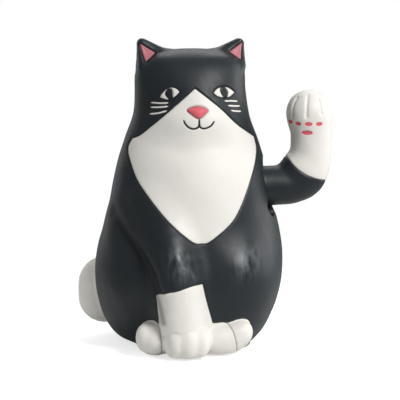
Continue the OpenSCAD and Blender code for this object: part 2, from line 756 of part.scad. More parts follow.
module counterweight() {
    color([0.5, 0.51, 0.53]) difference() {
        box([weight_x - weight_w / 2, mech_y - weight_half, weight_z - weight_h / 2],
            [weight_x + weight_w / 2, mech_y + weight_half, weight_z + weight_h / 2]);
        box([weight_x - weight_w, mech_y - tab_t / 2 - 0.1, weight_z + 3 - rod_w / 2 - 0.2],
            [weight_x + weight_w, mech_y + tab_t / 2 + 0.1, weight_z + weight_h]);
        rod_y(weight_x, weight_z + 3, lever_screw_r + 0.1, mech_y - 20, mech_y + 20);
        for (s = [-1, 1]) rod_y(weight_x, weight_z + 3, 2.1,
            mech_y + (s > 0 ? weight_half - 1.6 : -weight_half - 1),
            mech_y + (s > 0 ? weight_half + 1 : 1.6 - weight_half));
    }
}

module drive_magnet() {
    color([0.7, 0.71, 0.74]) translate([pivot_x, mech_y, magnet_z]) cylinder(r = magnet_r, h = magnet_t);
}

// A screw along +Y with its head at the front
module cross_screw(x, z, y, l) {
    difference() {
        union() {
            rod_y(x, z, 1.9, y, y + 1.2, 32);
            rod_y(x, z, lever_screw_r, y, y + l, 32);
        }
        box([x - 1.2, y - 1, z - 0.2], [x + 1.2, y + 0.6, z + 0.2]);
    }
}

module lever_screws() {
    color([0.75, 0.76, 0.78]) {
        cross_screw(socket_x - tongue_in / 2, pivot_z, mech_y - lever_t / 2 - 1.2, lever_t + 0.8);
        cross_screw(weight_x, weight_z + 3, mech_y - weight_half + 0.4, 2 * weight_half - 3);
    }
}

body_casting();
felt_pad();
base_plate();
base_screws();
swing_frame();
frame_screws();
pivot_pin();
pin_clips();
coil_bobbin();
drive_coil();
circuit_board();
board_components();
board_screws();
battery_cell();
contact_spring();
contact_plate();
switch_body();
red_lead();
black_leads();
coil_leads();
battery_door();
switch_knob();
waving_arm();
arm_stub();
swing_lever();
pivot_bush();
counterweight();
drive_magnet();
lever_screws();
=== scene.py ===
"""A seated black and white cat figurine whose raised arm rocks on a battery drive.

The painted casting and the arm are sculpted here as distance fields, in millimetres, and
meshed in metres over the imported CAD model. Every other part keeps its CAD shape and gets a
procedural material. The cat faces -Y, +X is its left and +Z is up.
"""
import math

import bmesh
import bpy
import numpy as np
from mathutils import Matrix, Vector


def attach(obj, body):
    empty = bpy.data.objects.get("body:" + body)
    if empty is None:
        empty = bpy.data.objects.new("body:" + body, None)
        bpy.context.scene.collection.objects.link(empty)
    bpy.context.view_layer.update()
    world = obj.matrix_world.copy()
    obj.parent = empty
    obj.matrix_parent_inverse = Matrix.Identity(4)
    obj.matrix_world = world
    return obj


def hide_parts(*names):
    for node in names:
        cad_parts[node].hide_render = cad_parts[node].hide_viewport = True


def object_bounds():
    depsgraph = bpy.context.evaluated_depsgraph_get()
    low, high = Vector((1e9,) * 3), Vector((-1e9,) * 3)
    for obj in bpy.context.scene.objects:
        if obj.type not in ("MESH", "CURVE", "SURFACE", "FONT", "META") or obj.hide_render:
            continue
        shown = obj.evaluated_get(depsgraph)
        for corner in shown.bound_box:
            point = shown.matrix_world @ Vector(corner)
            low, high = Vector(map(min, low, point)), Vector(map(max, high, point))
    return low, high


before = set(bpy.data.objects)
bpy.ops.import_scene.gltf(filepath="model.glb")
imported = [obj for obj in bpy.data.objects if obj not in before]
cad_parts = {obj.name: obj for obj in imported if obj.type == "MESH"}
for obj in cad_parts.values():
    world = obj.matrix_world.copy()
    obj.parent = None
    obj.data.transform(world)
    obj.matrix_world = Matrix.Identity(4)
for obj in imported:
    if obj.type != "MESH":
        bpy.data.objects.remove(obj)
cad_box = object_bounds()
MM = 0.001
# The furthest that a distance from a painted shape is measured, in millimetres
FAR = 9.0


# ---------------------------------------------------------------- camera and light

CAMERA_AZIMUTH = -9
CAMERA_ELEVATION = 7
CAMERA_DISTANCE = 0.75
CAMERA_TARGET = (0.0045, 0, 0.0705)
CAMERA_LENS = 135.4
CAMERA_SENSOR = 36
CAMERA_NEAR = 0.01


def direction(azimuth, elevation):
    """The way from the object to a place seen at these angles, where azimuth 0 is in front."""
    a, e = math.radians(azimuth), math.radians(elevation)
    return Vector((math.sin(a) * math.cos(e), -math.cos(a) * math.cos(e), math.sin(e)))


def aim(obj, target):
    obj.rotation_euler = (obj.location - Vector(target)).to_track_quat("Z", "Y").to_euler()


def make_camera():
    camera = bpy.data.objects.new("camera", bpy.data.cameras.new("camera"))
    bpy.context.collection.objects.link(camera)
    camera.location = Vector(CAMERA_TARGET) + CAMERA_DISTANCE * direction(
        CAMERA_AZIMUTH, CAMERA_ELEVATION)
    aim(camera, CAMERA_TARGET)
    camera.data.lens = CAMERA_LENS
    camera.data.sensor_width = CAMERA_SENSOR
    camera.data.clip_start = CAMERA_NEAR
    bpy.context.scene.camera = camera


# Azimuth, elevation, distance, width, height, power, and whether gloss mirrors the lamp
LAMPS = {
    "key": (34, 36, 0.9, 0.26, 0.26, 6.2, True),
    "side": (102, 10, 0.9, 0.5, 0.7, 3.8, True),
    "left": (-100, 24, 0.9, 0.7, 0.5, 1.7, False),
    "rim": (-150, 12, 0.9, 0.2, 0.6, 0.5, True),
    "back": (170, 45, 1.0, 0.6, 0.4, 2.2, True),
    "top": (20, 88, 0.9, 0.6, 0.6, 0.45, True),
}
# Strength of the surroundings, as light and in reflections, where 1 is white
SURROUND = 0.2
SURROUND_MIRRORED = 0.26


def softbox(name, azimuth, elevation, distance, width, height, power, mirrored):
    lamp = bpy.data.lights.new(name, "AREA")
    lamp.shape = "RECTANGLE"
    lamp.size = width
    lamp.size_y = height
    lamp.energy = power
    obj = bpy.data.objects.new(name, lamp)
    bpy.context.collection.objects.link(obj)
    obj.location = Vector(CAMERA_TARGET) + distance * direction(azimuth, elevation)
    aim(obj, CAMERA_TARGET)
    obj.visible_glossy = mirrored


def seen_directly(tree, path):
    """1 where the camera looks straight here or through something clear, and 0 elsewhere."""
    return tree.math("MAXIMUM", path.outputs["Is Camera Ray"], path.outputs["Is Transmission Ray"])


def make_world():
    """Surroundings that the camera sees as white, and that give dim, even light and reflections."""
    world = bpy.data.worlds.new("world")
    bpy.context.scene.world = world
    world.use_nodes = True
    tree = Nodes(world.node_tree)
    path = tree.add("ShaderNodeLightPath")
    surround = tree.remap(path.outputs["Is Glossy Ray"], 0, 1, SURROUND, SURROUND_MIRRORED)
    strength = tree.remap(seen_directly(tree, path), 0, 1, surround, 1)
    background = tree.add("ShaderNodeBackground", Color=(1, 1, 1, 1), Strength=strength)
    tree.join(background, "World")


FLOOR_HALF = 3
FLOOR_GREY = 0.8
# Extra brightness that only the camera sees, which brings the lit floor up to white
FLOOR_LIFT = 0.66
# Distances from the cat between which the lit floor fades to plain white
FLOOR_FADE = (0.12, 0.3)


def make_floor():
    """A pale floor that keeps the shadow close to the cat and fades to white around it."""
    mesh = bpy.data.meshes.new("floor")
    bm = bmesh.new()
    bmesh.ops.create_grid(bm, x_segments=8, y_segments=8, size=FLOOR_HALF)
    bm.to_mesh(mesh)
    bm.free()
    floor = bpy.data.objects.new("floor", mesh)
    bpy.context.collection.objects.link(floor)
    floor.location.z = cad_box[0][2]
    material = bpy.data.materials.new("floor")
    material.use_nodes = True
    tree = Nodes(material.node_tree)
    seen = seen_directly(tree, tree.add("ShaderNodeLightPath"))
    place = tree.add("ShaderNodeNewGeometry").outputs["Position"]
    radius = tree.add("ShaderNodeVectorMath", Vector=place, operation="LENGTH").outputs["Value"]
    paper = tree.add("ShaderNodeBsdfDiffuse", Color=(FLOOR_GREY, FLOOR_GREY, FLOOR_GREY, 1))
    lift = tree.add("ShaderNodeEmission", Color=(1, 1, 1, 1),
                    Strength=tree.remap(seen, 0, 1, 0, FLOOR_LIFT))
    near = tree.add("ShaderNodeAddShader")
    tree.link(paper.outputs[0], near.inputs[0])
    tree.link(lift.outputs[0], near.inputs[1])
    white = tree.add("ShaderNodeEmission", Color=(1, 1, 1, 1),
                     Strength=tree.remap(seen, 0, 1, SURROUND_MIRRORED, 1))
    both = tree.add("ShaderNodeMixShader", Fac=tree.remap(radius, *FLOOR_FADE, 0, 1))
    tree.link(near.outputs[0], both.inputs[1])
    tree.link(white.outputs[0], both.inputs[2])
    tree.join(both, "Material")
    mesh.materials.append(material)


# ---------------------------------------------------------------- node trees

NOISE_ROUGHNESS = 0.55


class Nodes:
    """A node tree with short ways to add, set and join nodes."""

    def __init__(self, tree):
        self.tree = tree
        tree.nodes.clear()

    def link(self, source, socket):
        self.tree.links.new(source, socket)

    def add(self, kind, operation=None, **values):
        node = self.tree.nodes.new(kind)
        if operation:
            node.operation = operation
        for name, value in values.items():
            self.set(node.inputs[name.replace("_", " ")], value)
        return node

    def set(self, socket, value):
        if isinstance(value, bpy.types.NodeSocket):
            self.link(value, socket)
        else:
            socket.default_value = value

    def math(self, operation, *values):
        node = self.add("ShaderNodeMath", operation=operation)
        for socket, value in zip(node.inputs, values):
            self.set(socket, value)
        return node.outputs[0]

    def remap(self, value, low, high, to_low, to_high):
        node = self.add("ShaderNodeMapRange")
        node.clamp = True
        for socket, v in zip(node.inputs, (value, low, high, to_low, to_high)):
            self.set(socket, v)
        return node.outputs["Result"]

    def mix(self, factor, a, b, blend="MIX"):
        node = self.add("ShaderNodeMix")
        node.data_type = "RGBA"
        node.blend_type = blend
        self.set(node.inputs[0], factor)
        self.set(node.inputs[6], a)
        self.set(node.inputs[7], b)
        return node.outputs[2]

    def attribute(self, name):
        node = self.add("ShaderNodeAttribute")
        node.attribute_name = name
        return node.outputs["Fac"]

    def noise(self, scale, detail=3, stretch=None):
        """Noise over the object's own coordinates; scale is in features per metre."""
        place = self.add("ShaderNodeTexCoord").outputs["Object"]
        if stretch:
            place = self.add("ShaderNodeMapping", Vector=place, Scale=stretch).outputs[0]
        node = self.add("ShaderNodeTexNoise", Vector=place, Scale=scale, Detail=detail,
                        Roughness=NOISE_ROUGHNESS)
        return node.outputs["Fac"]

    def bump(self, height, strength, distance, normal=None):
        node = self.add("ShaderNodeBump", Height=height, Strength=strength, Distance=distance)
        if normal is not None:
            self.link(normal, node.inputs["Normal"])
        return node.outputs[0]

    def join(self, shader, kind):
        out = self.add("ShaderNodeOutput" + kind)
        self.link(shader.outputs[0], out.inputs["Surface"])


def srgb(r, g, b):
    """A colour written as 0-255 screen values, as linear light."""
    linear = [((v / 255 + 0.055) / 1.055) ** 2.4 if v > 10 else v / 3295 for v in (r, g, b)]
    return (*linear, 1)


def shades(colour, spread):
    """A darker and a lighter version of a colour."""
    return [tuple(min(1, v * k) for v in colour[:3]) + (1,) for k in (1 - spread, 1 + spread)]


def material(name):
    made = bpy.data.materials.new(name)
    made.use_nodes = True
    return made, Nodes(made.node_tree)


# ---------------------------------------------------------------- painted casting

BLACK = srgb(27, 34, 38)
WHITE = srgb(236, 233, 226)
PINK = srgb(226, 104, 116)
ROSE = srgb(196, 120, 130)
LINE = srgb(28, 28, 30)
# The unpainted inside of a casting; black paint lightened where worn by handling and as painted
# highlights on the leg and knee; and darker black paint on the head
RAW = srgb(214, 205, 188)
WORN_AND_HIGHLIGHT = srgb(112, 117, 121)
DEEP = srgb(18, 24, 28)
# How far paint edges stray, and half the width over which they change, in millimetres
EDGE_WOBBLE = 0.22
EDGE_SOFT = 0.07
# Depth below the surface over which paint gives way to the raw casting, in millimetres
RAW_DEPTH = (1.8, 2.1)
# How far the wear value falls over the head's front, where the black paint turns duller and darker
DULLEST = -0.7
# How much the painted shade in engraved lines and creases darkens the paint
PAINTED_SHADE_STRENGTH = 0.55
SATIN = (0.42, 0.54)
RAW_ROUGHNESS = 0.8
POLISH = 0.14
PAINT_IOR = 1.48
PAINT_SPECULAR = 0.42


def painted(name):
    """Satin hand paint over a casting. The mesh carries, in millimetres, how far each point lies
    from the edge of each paint, below zero inside it, and how deep it lies under the surface
    (depth). It also carries painted shade in engraved lines and creases, and wear together with
    painted highlights on the leg and knee, where below zero means duller and darker black paint."""
    made, tree = material(name)
    wobble = tree.math("MULTIPLY", tree.math("SUBTRACT", tree.noise(900), 0.5), EDGE_WOBBLE)
    blotch = tree.noise(70, 4)
    strokes = tree.noise(420, 3, stretch=(1, 1, 0.25))
    rub = tree.attribute("rub")

    def within(attribute):
        edge = tree.math("ADD", tree.attribute(attribute), wobble)
        return tree.remap(edge, -EDGE_SOFT, EDGE_SOFT, 1, 0)

    def blend(share):
        """Blotches and brush strokes together, by the share of blotches."""
        return tree.math("ADD", tree.math("MULTIPLY", blotch, share),
                         tree.math("MULTIPLY", strokes, 1 - share))

    def coat(colour, spread):
        dark, light = shades(colour, spread)
        return tree.mix(tree.remap(blend(0.6), 0.35, 0.65, 0, 1), dark, light)

    # Black paint lightened where worn, and as painted highlights on the leg and knee
    wear_and_highlight_mix = tree.math("MULTIPLY", rub, tree.remap(strokes, 0.38, 0.66, 0, 0.5))
    # Darker black paint over the head's front, above the neck
    head_darkening = tree.remap(rub, DULLEST, 0, 1, 0)
    black = tree.mix(wear_and_highlight_mix, tree.mix(head_darkening, coat(BLACK, 0.07), DEEP), WORN_AND_HIGHLIGHT)
    colour = tree.mix(within("white"), black, coat(WHITE, 0.015))
    colour = tree.mix(within("pupil"), colour, coat(BLACK, 0.07))
    colour = tree.mix(within("rose"), colour, coat(ROSE, 0.1))
    colour = tree.mix(within("pink"), colour, coat(PINK, 0.05))
    colour = tree.mix(within("line"), colour, LINE)
    # Painted shade darkens the paint in engraved lines and along the haunch crease
    shade = tree.math("SUBTRACT", 1, tree.math("MULTIPLY", tree.attribute("wash"), PAINTED_SHADE_STRENGTH))
    raw = tree.remap(tree.attribute("depth"), *RAW_DEPTH, 0, 1)
    colour = tree.mix(raw, tree.mix(1, colour, shade, "MULTIPLY"), RAW)
    satin = tree.remap(blend(0.5), 0.3, 0.7, *SATIN)
    polished = tree.math("SUBTRACT", satin, tree.math("MULTIPLY", rub, POLISH))
    rough = tree.math("MAXIMUM", polished, tree.math("MULTIPLY", raw, RAW_ROUGHNESS))
    normal = tree.bump(strokes, 0.25, 0.00008)
    normal = tree.bump(tree.noise(150, 4), 0.35, 0.0003, normal)
    normal = tree.bump(tree.noise(2600, 2), 0.12, 0.00004, normal)
    shader = tree.add("ShaderNodeBsdfPrincipled", Base_Color=colour, Roughness=rough, Normal=normal)
    shader.inputs["IOR"].default_value = PAINT_IOR
    shader.inputs["Specular IOR Level"].default_value = PAINT_SPECULAR
    tree.join(shader, "Material")
    return made


# ---------------------------------------------------------------- distance fields

def smooth_min(a, b, k):
    h = np.maximum(k - np.abs(a - b), 0) / k
    return np.minimum(a, b) - h * h * k / 4


def smooth_max(a, b, k):
    return -smooth_min(-a, -b, k)


def ease(v):
    v = np.clip(v, 0, 1)
    return v * v * (3 - 2 * v)


def ellipsoid(p, centre, radii):
    q = (p - np.array(centre)) / np.array(radii)
    k0 = np.linalg.norm(q, axis=1) + 1e-9
    k1 = np.linalg.norm(q / np.array(radii), axis=1) + 1e-9
    return k0 * (k0 - 1) / k1


def cone(p, a, b):
    """The solid that a ball [x, y, z, radius] sweeps as it turns into the next one."""
    a, b = np.array(a, float), np.array(b, float)
    way = b[:3] - a[:3]
    t = np.clip((p - a[:3]) @ way / (way @ way), 0, 1)
    return np.linalg.norm(p - a[:3] - t[:, None] * way, axis=1) - (a[3] + t * (b[3] - a[3]))


# How softly, in millimetres, one short length of a tube joins the next
TUBE_JOIN = 0.3


def tube(p, balls, steps=4):
    """The solid that a ball sweeps along a smooth line through the balls [x, y, z, radius]."""
    line = open_line(*balls, steps=steps)
    field = cone(p, line[0], line[1])
    for a, b in zip(line[1:], line[2:]):
        field = smooth_min(field, cone(p, a, b), TUBE_JOIN)
    return field


def hermite(x, xs, ys):
    """A smooth curve through the points (xs, ys), read at x."""
    xs, ys = np.array(xs, float), np.array(ys, float)
    slope = np.gradient(ys, xs)
    x = np.clip(x, xs[0], xs[-1])
    i = np.clip(np.searchsorted(xs, x) - 1, 0, len(xs) - 2)
    h = xs[i + 1] - xs[i]
    t = (x - xs[i]) / h
    return ((1 + 2 * t) * (1 - t) ** 2 * ys[i] + t * (1 - t) ** 2 * h * slope[i]
            + t * t * (3 - 2 * t) * ys[i + 1] + t * t * (t - 1) * h * slope[i + 1])


# ---------------------------------------------------------------- meshing

def surface_net(field, low, high, step):
    """A quad mesh, as triangles, round the cells of a grid where the field changes sign."""
    low, high = np.array(low, float), np.array(high, float)
    count = np.ceil((high - low) / step).astype(int) + 1
    axes = [low[i] + step * np.arange(count[i]) for i in range(3)]
    grid = np.stack(np.meshgrid(*axes, indexing="ij"), -1).reshape(-1, 3)
    value = field(grid).reshape(count)
    total = np.zeros(tuple(count) + (3,))
    hits = np.zeros(count, int)
    rings = []
    for axis in range(3):
        a = np.take(value, range(count[axis] - 1), axis)
        b = np.take(value, range(1, count[axis]), axis)
        cross = np.argwhere((a < 0) != (b < 0))
        va, vb = a[tuple(cross.T)], b[tuple(cross.T)]
        place = cross.astype(float)
        place[:, axis] += va / (va - vb)
        u, w = [i for i in range(3) if i != axis]
        ring = []
        for du, dw in ((0, 0), (-1, 0), (-1, -1), (0, -1)):
            cell = cross.copy()
            cell[:, u] += du
            cell[:, w] += dw
            np.add.at(total, tuple(cell.T), place)
            np.add.at(hits, tuple(cell.T), 1)
            ring.append(cell)
        ring = np.stack(ring, 1)
        flip = (va < 0) != (axis == 1)
        ring[flip] = ring[flip][:, ::-1]
        rings.append(ring)
    used = hits > 0
    number = np.full(count, -1)
    number[used] = np.arange(used.sum())
    points = low + step * total[used] / hits[used][:, None]
    quads = np.concatenate(rings)
    quads = number[quads[..., 0], quads[..., 1], quads[..., 2]]
    short = (np.linalg.norm(points[quads[:, 0]] - points[quads[:, 2]], axis=1)
             < np.linalg.norm(points[quads[:, 1]] - points[quads[:, 3]], axis=1))
    first, second = quads[short], quads[~short]
    triangles = np.concatenate([first[:, [0, 1, 2]], first[:, [0, 2, 3]],
                                second[:, [0, 1, 3]], second[:, [1, 2, 3]]])
    return points, triangles[:, ::-1]


def gradient(field, p, h=0.05):
    out = np.empty_like(p)
    for i in range(3):
        e = np.zeros(3)
        e[i] = h
        out[:, i] = (field(p + e) - field(p - e)) / (2 * h)
    return out


def project(field, p, rounds=3):
    """Moves points onto the field's surface."""
    for _ in range(rounds):
        g = gradient(field, p)
        move = field(p)[:, None] * g / np.maximum((g * g).sum(1), 0.05)[:, None]
        p = p - np.clip(move, -1.5, 1.5)
    return p


def edges_of(t):
    pairs = np.sort(np.concatenate([t[:, [0, 1]], t[:, [1, 2]], t[:, [2, 0]]]), axis=1)
    edges, back = np.unique(pairs, axis=0, return_inverse=True)
    return edges, back.reshape(3, -1).T


def relax(p, t):
    """Moves each point halfway to the middle of its neighbours, to even out their spacing."""
    edges, _ = edges_of(t)
    total, count = np.zeros_like(p), np.zeros(len(p))
    for a, b in ((0, 1), (1, 0)):
        np.add.at(total, edges[:, a], p[edges[:, b]])
        np.add.at(count, edges[:, a], 1)
    return p + (total / np.maximum(count, 1)[:, None] - p) / 2


def refine(p, t, wanted, length):
    """Halves every edge that is longer than length and whose middle is wanted."""
    edges, side = edges_of(t)
    middle = p[edges].mean(1)
    long = np.linalg.norm(p[edges[:, 0]] - p[edges[:, 1]], axis=1) > length
    cut = long.copy()
    cut[long] = wanted(middle[long])
    number = np.full(len(edges), -1)
    number[cut] = len(p) + np.arange(cut.sum())
    p = np.concatenate([p, middle[cut]])
    m = number[side]
    parts = [t[(m >= 0).sum(1) == 0]]
    for turn in range(3):
        a, b, c = [t[:, (turn + i) % 3] for i in range(3)]
        ab, bc, ca = [m[:, (turn + i) % 3] for i in range(3)]
        one = (ab >= 0) & (bc < 0) & (ca < 0)
        parts += [np.stack(v, 1)[one] for v in ((a, ab, c), (ab, b, c))]
        two = (ab >= 0) & (bc >= 0) & (ca < 0)
        parts += [np.stack(v, 1)[two] for v in ((ab, b, bc), (a, ab, c), (ab, bc, c))]
    a, b, c, ab, bc, ca = *t.T, *m.T
    three = (m >= 0).all(1)
    parts += [np.stack(v, 1)[three] for v in ((a, ab, ca), (ab, b, bc), (ca, bc, c), (ab, bc, ca))]
    return p, np.concatenate(parts)


def mesh_object(name, p, t):
    mesh = bpy.data.meshes.new(name)
    mesh.from_pydata((p * MM).tolist(), [], t.tolist())
    mesh.update()
    obj = bpy.data.objects.new(name, mesh)
    bpy.context.collection.objects.link(obj)
    return obj


def loft(name, rings):
    """A closed solid through rings of the same number of points."""
    n, m = len(rings[0]), len(rings)
    p = np.concatenate([np.array(r, float) for r in rings])
    faces = []
    for k in range(m - 1):
        for i in range(n):
            j = (i + 1) % n
            faces.append((k * n + i, k * n + j, (k + 1) * n + j, (k + 1) * n + i))
    faces.append(tuple(range(n))[::-1])
    faces.append(tuple((m - 1) * n + i for i in range(n)))
    mesh = bpy.data.meshes.new(name)
    mesh.from_pydata((p * MM).tolist(), [], faces)
    obj = bpy.data.objects.new(name, mesh)
    bpy.context.collection.objects.link(obj)
    bm = bmesh.new()
    bm.from_mesh(mesh)
    bmesh.ops.recalc_face_normals(bm, faces=bm.faces)
    bm.to_mesh(mesh)
    bm.free()
    return obj


def carve(obj, *steps):
    """Joins or cuts away other solids, each given as (operation, solid)."""
    for operation, other in steps:
        modifier = obj.modifiers.new("carve", "BOOLEAN")
        modifier.operation = operation
        modifier.solver = "MANIFOLD"
        modifier.object = other
    graph = bpy.context.evaluated_depsgraph_get()
    mesh = bpy.data.meshes.new_from_object(obj.evaluated_get(graph))
    obj.modifiers.clear()
    old, obj.data = obj.data, mesh
    bpy.data.meshes.remove(old)
    for _, other in steps:
        bpy.data.objects.remove(other)


SHARP_ANGLE = 50
# Points closer than this, and edges shorter than this, are merged, in metres
SAME_POINT = 0.00001
NO_LENGTH = 0.000005


def finish_mesh(obj):
    """Cleans the mesh and shades it smooth, except over sharp edges."""
    bm = bmesh.new()
    bm.from_mesh(obj.data)
    bmesh.ops.remove_doubles(bm, verts=bm.verts, dist=SAME_POINT)
    bmesh.ops.dissolve_degenerate(bm, edges=bm.edges, dist=NO_LENGTH)
    limit = math.radians(SHARP_ANGLE)
    for face in bm.faces:
        face.smooth = True
    for edge in bm.edges:
        if len(edge.link_faces) == 2:
            edge.smooth = edge.calc_face_angle(0) < limit
    bm.to_mesh(obj.data)
    bm.free()


def points_of(obj):
    co = np.empty(len(obj.data.vertices) * 3)
    obj.data.vertices.foreach_get("co", co)
    return co.reshape(-1, 3) / MM


def store(obj, **values):
    for name, value in values.items():
        attribute = obj.data.attributes.new(name, "FLOAT", "POINT")
        attribute.data.foreach_set("value", np.clip(value, -FAR, FAR).astype(np.float32))


# ---------------------------------------------------------------- outlines on the front

def curve(*points, steps=7):
    """A smooth line through the points, without its last point."""
    p = np.array(points, float)
    q = np.concatenate([[2 * p[0] - p[1]], p, [2 * p[-1] - p[-2]]])
    t = (np.arange(steps) / steps)[:, None]
    out = []
    for i in range(1, len(q) - 2):
        a, b, c, d = q[i - 1:i + 3]
        out.append(0.5 * (2 * b + (c - a) * t + (2 * a - 5 * b + 4 * c - d) * t ** 2
                          + (3 * b - a - 3 * c + d) * t ** 3))
    return np.concatenate(out)


def outline(*arcs):
    """A closed shape of smooth lines that meet at corners."""
    return np.concatenate([curve(*arc) for arc in arcs])


def open_line(*points, steps=7):
    return np.concatenate([curve(*points, steps=steps), [points[-1]]])


def near_line(q, line):
    """The distance of each point from a line, and the share of the line's length there."""
    every, every_share = np.full(len(q), FAR), np.zeros(len(q))
    near = ((q > line.min(0) - FAR) & (q < line.max(0) + FAR)).all(1)
    q = q[near]
    best, share = np.full(len(q), FAR), np.zeros(len(q))
    lengths = np.linalg.norm(np.diff(line, axis=0), axis=1)
    run = np.concatenate([[0], np.cumsum(lengths)]) / lengths.sum()
    for k in range(len(line) - 1):
        a, way = line[k], line[k + 1] - line[k]
        t = np.clip((q - a) @ way / (way @ way), 0, 1)
        d = np.linalg.norm(q - a - t[:, None] * way, axis=1)
        closer = d < best
        best[closer] = d[closer]
        share[closer] = (run[k] + t * (run[k + 1] - run[k]))[closer]
    every[near], every_share[near] = best, share
    return every, every_share


def inside(q, shape):
    odd = np.zeros(len(q), bool)
    x, z = q.T
    for (x1, z1), (x2, z2) in zip(shape, np.roll(shape, -1, axis=0)):
        if z1 != z2:
            odd ^= ((z1 > z) != (z2 > z)) & (x < (x2 - x1) * (z - z1) / (z2 - z1) + x1)
    return odd


def signed(q, shape):
    """The distance from a closed shape's edge, below zero inside it."""
    out = np.full(len(q), FAR)
    near = ((q > shape.min(0) - FAR) & (q < shape.max(0) + FAR)).all(1)
    d, _ = near_line(q[near], np.concatenate([shape, shape[:1]]))
    out[near] = np.where(inside(q[near], shape), -d, d)
    return out


def fade_ends(share, span):
    """0 at both ends of a line and 1 between them, from the share of its length at each point."""
    return ease(np.minimum(share, 1 - share) / span)


def stroke(q, line, half_width, taper=0.12):
    """The distance from a brush stroke that thins at its ends."""
    d, share = near_line(q, line)
    return d - half_width * (0.45 + 0.55 * fade_ends(share, taper))


def bell(distance, width):
    return np.exp(-(distance / width) ** 2)


def groove(distance, half_width, depth):
    return -depth * bell(distance, half_width)


# ---------------------------------------------------------------- the cat's shape

# Height, half width, reach to the front and to the back of the torso and head
SECTIONS = np.array([
    [0.8, 30.5, 33.5, 35], [7, 35.8, 39, 39.5], [18, 40.7, 41.6, 42], [33, 44.3, 42, 43.8],
    [45, 45.5, 41.2, 43.4], [57, 44, 39.8, 41.4], [72, 40.4, 37.6, 38.2], [88, 37.2, 33.9, 34],
    [101, 33.3, 28.6, 29], [113, 29, 26, 25], [126, 27.4, 24.4, 23.6], [137, 27.6, 22, 22.5],
    [150, 26.6, 20, 20.5]])
# The head sits a little to one side: how far, and from which height over how much height
HEAD_SHIFT = -0.6
NECK = (114, 16)
# Height of the top of the head, its half width and half depth, and how far and by which power
# it falls towards them
CROWN = 145.8
CROWN_HALF = (25, 17)
CROWN_FALL = (6, 5.6)
CROWN_POWER = (2.6, 2.2)
# Height of the casting's rim above the table
FOOT = 0.8
WALL = 3


def torso(p):
    x, y, z = p.T
    x = x - HEAD_SHIFT * ease((z - NECK[0]) / NECK[1])
    heights, widths, fronts, backs = SECTIONS.T
    half = hermite(z, heights, widths)
    reach = np.where(y < 0, hermite(z, heights, fronts), hermite(z, heights, backs))
    s = np.hypot(x / half, y / reach) + 1e-6
    return np.hypot(x, y) * (1 - 1 / s)


def crown(p):
    x, y, z = p.T
    fall, slope = 0, 0
    for way, half, drop, power in zip((x, y), CROWN_HALF, CROWN_FALL, CROWN_POWER):
        share = np.abs(way) / half
        fall = fall + drop * share ** power
        slope = np.hypot(slope, drop * power / half * share ** (power - 1))
    return (z - CROWN + fall) / np.sqrt(1 + slope ** 2)


# The ear's corners as (x, z), and how far the rounded edge stands outside them
EAR = [(12, 142.6), (24.1, 148.2), (23.9, 138), (17, 129), (12, 132)]
EAR_ROUND = 2.5
# From which height over how much height the ear thins, its half thickness at the root,
# how much of that it loses, how far its tip leans back, and how soft its edges are
EAR_RISE = (132, 17)
EAR_ROOT = 9
EAR_THINNING = 5.4
EAR_LEAN = 1.5
EAR_EDGE = 2.6


def ear(p, side):
    """A rounded triangle, thick at its root and thin at its tip."""
    x, y, z = p.T
    flat = signed(np.stack([side * x, z], 1), np.array(EAR, float)) - EAR_ROUND
    up = ease((z - EAR_RISE[0]) / EAR_RISE[1])
    return smooth_max(flat, np.abs(y - EAR_LEAN * up) - (EAR_ROOT - EAR_THINNING * up), EAR_EDGE)


# Balls along the limbs, as x, y, z and radius. Left and right are as seen from the front.
FRONT_LEG = [(-21, -22, 72, 8), (-16, -34.2, 52, 10.8), (-12.8, -39.8, 36, 10.6),
             (-10.8, -41.8, 15, 10.2)]
TAIL = [(0, 33.4, 16, 11.5), (-15, 34, 18, 13), (-28.5, 28.4, 21.8, 14), (-38.2, 18.5, 23.8, 13.6)]
TAIL_END = [(-42.3, 14, 28, 12.8), (-42.8, 14, 20.2, 12.4)]
# Rounded masses: centre, half sizes, and how softly each joins what comes before it
MUZZLE = [((-0.6, -13, 111), (17, 14, 9), 9)]
HAUNCHES = [((-28.9, 2, 33.6), (19, 36, 33), 2.5), ((15, -10, 35.5), (25.5, 34, 28), 8)]
PAW = [((-8.8, -41.4, 8.6), (12.2, 11.4, 9.2), 0)]
PAW += [((x, y, 8.4), (r, 6.6, 7.6), 1.7) for x, y, r in (
    (-14.6, -45.6, 4.9), (-8.6, -47, 5.1), (-2.6, -45.6, 4.9))]
LEFT_FOOT = [((-22.4, -33, 8.4), (9.2, 10.6, 8.6), 0), ((-28, -36, 9.4), (4.2, 5, 6.6), 1.6)]
RIGHT_FOOT = [((8.6, -35.8, 7.8), (12.8, 9.8, 8.7), 0), ((18.2, -37.2, 11.2), (6.1, 7.4, 6.1), 4.5)]


def masses(p, parts, field=None):
    """Joins rounded masses to each other, and to a field if there is one."""
    for centre, radii, soft in parts:
        ball = ellipsoid(p, centre, radii)
        field = ball if field is None else smooth_min(field, ball, soft)
    return field


def tail(p):
    return smooth_min(tube(p, TAIL), tube(p, TAIL_END, 1), 6)


def cat(p):
    field = masses(p, MUZZLE + HAUNCHES, smooth_max(torso(p), crown(p), 7))
    field = smooth_min(field, tube(p, FRONT_LEG), 8)
    for foot in (PAW, LEFT_FOOT, RIGHT_FOOT):
        field = smooth_min(field, masses(p, foot), 1.2)
    field = smooth_min(field, tail(p), 1.6)
    for side in (-1, 1):
        field = smooth_min(field, ear(p, side), 3)
    return smooth_max(field, FOOT - p[:, 2], 0.8)


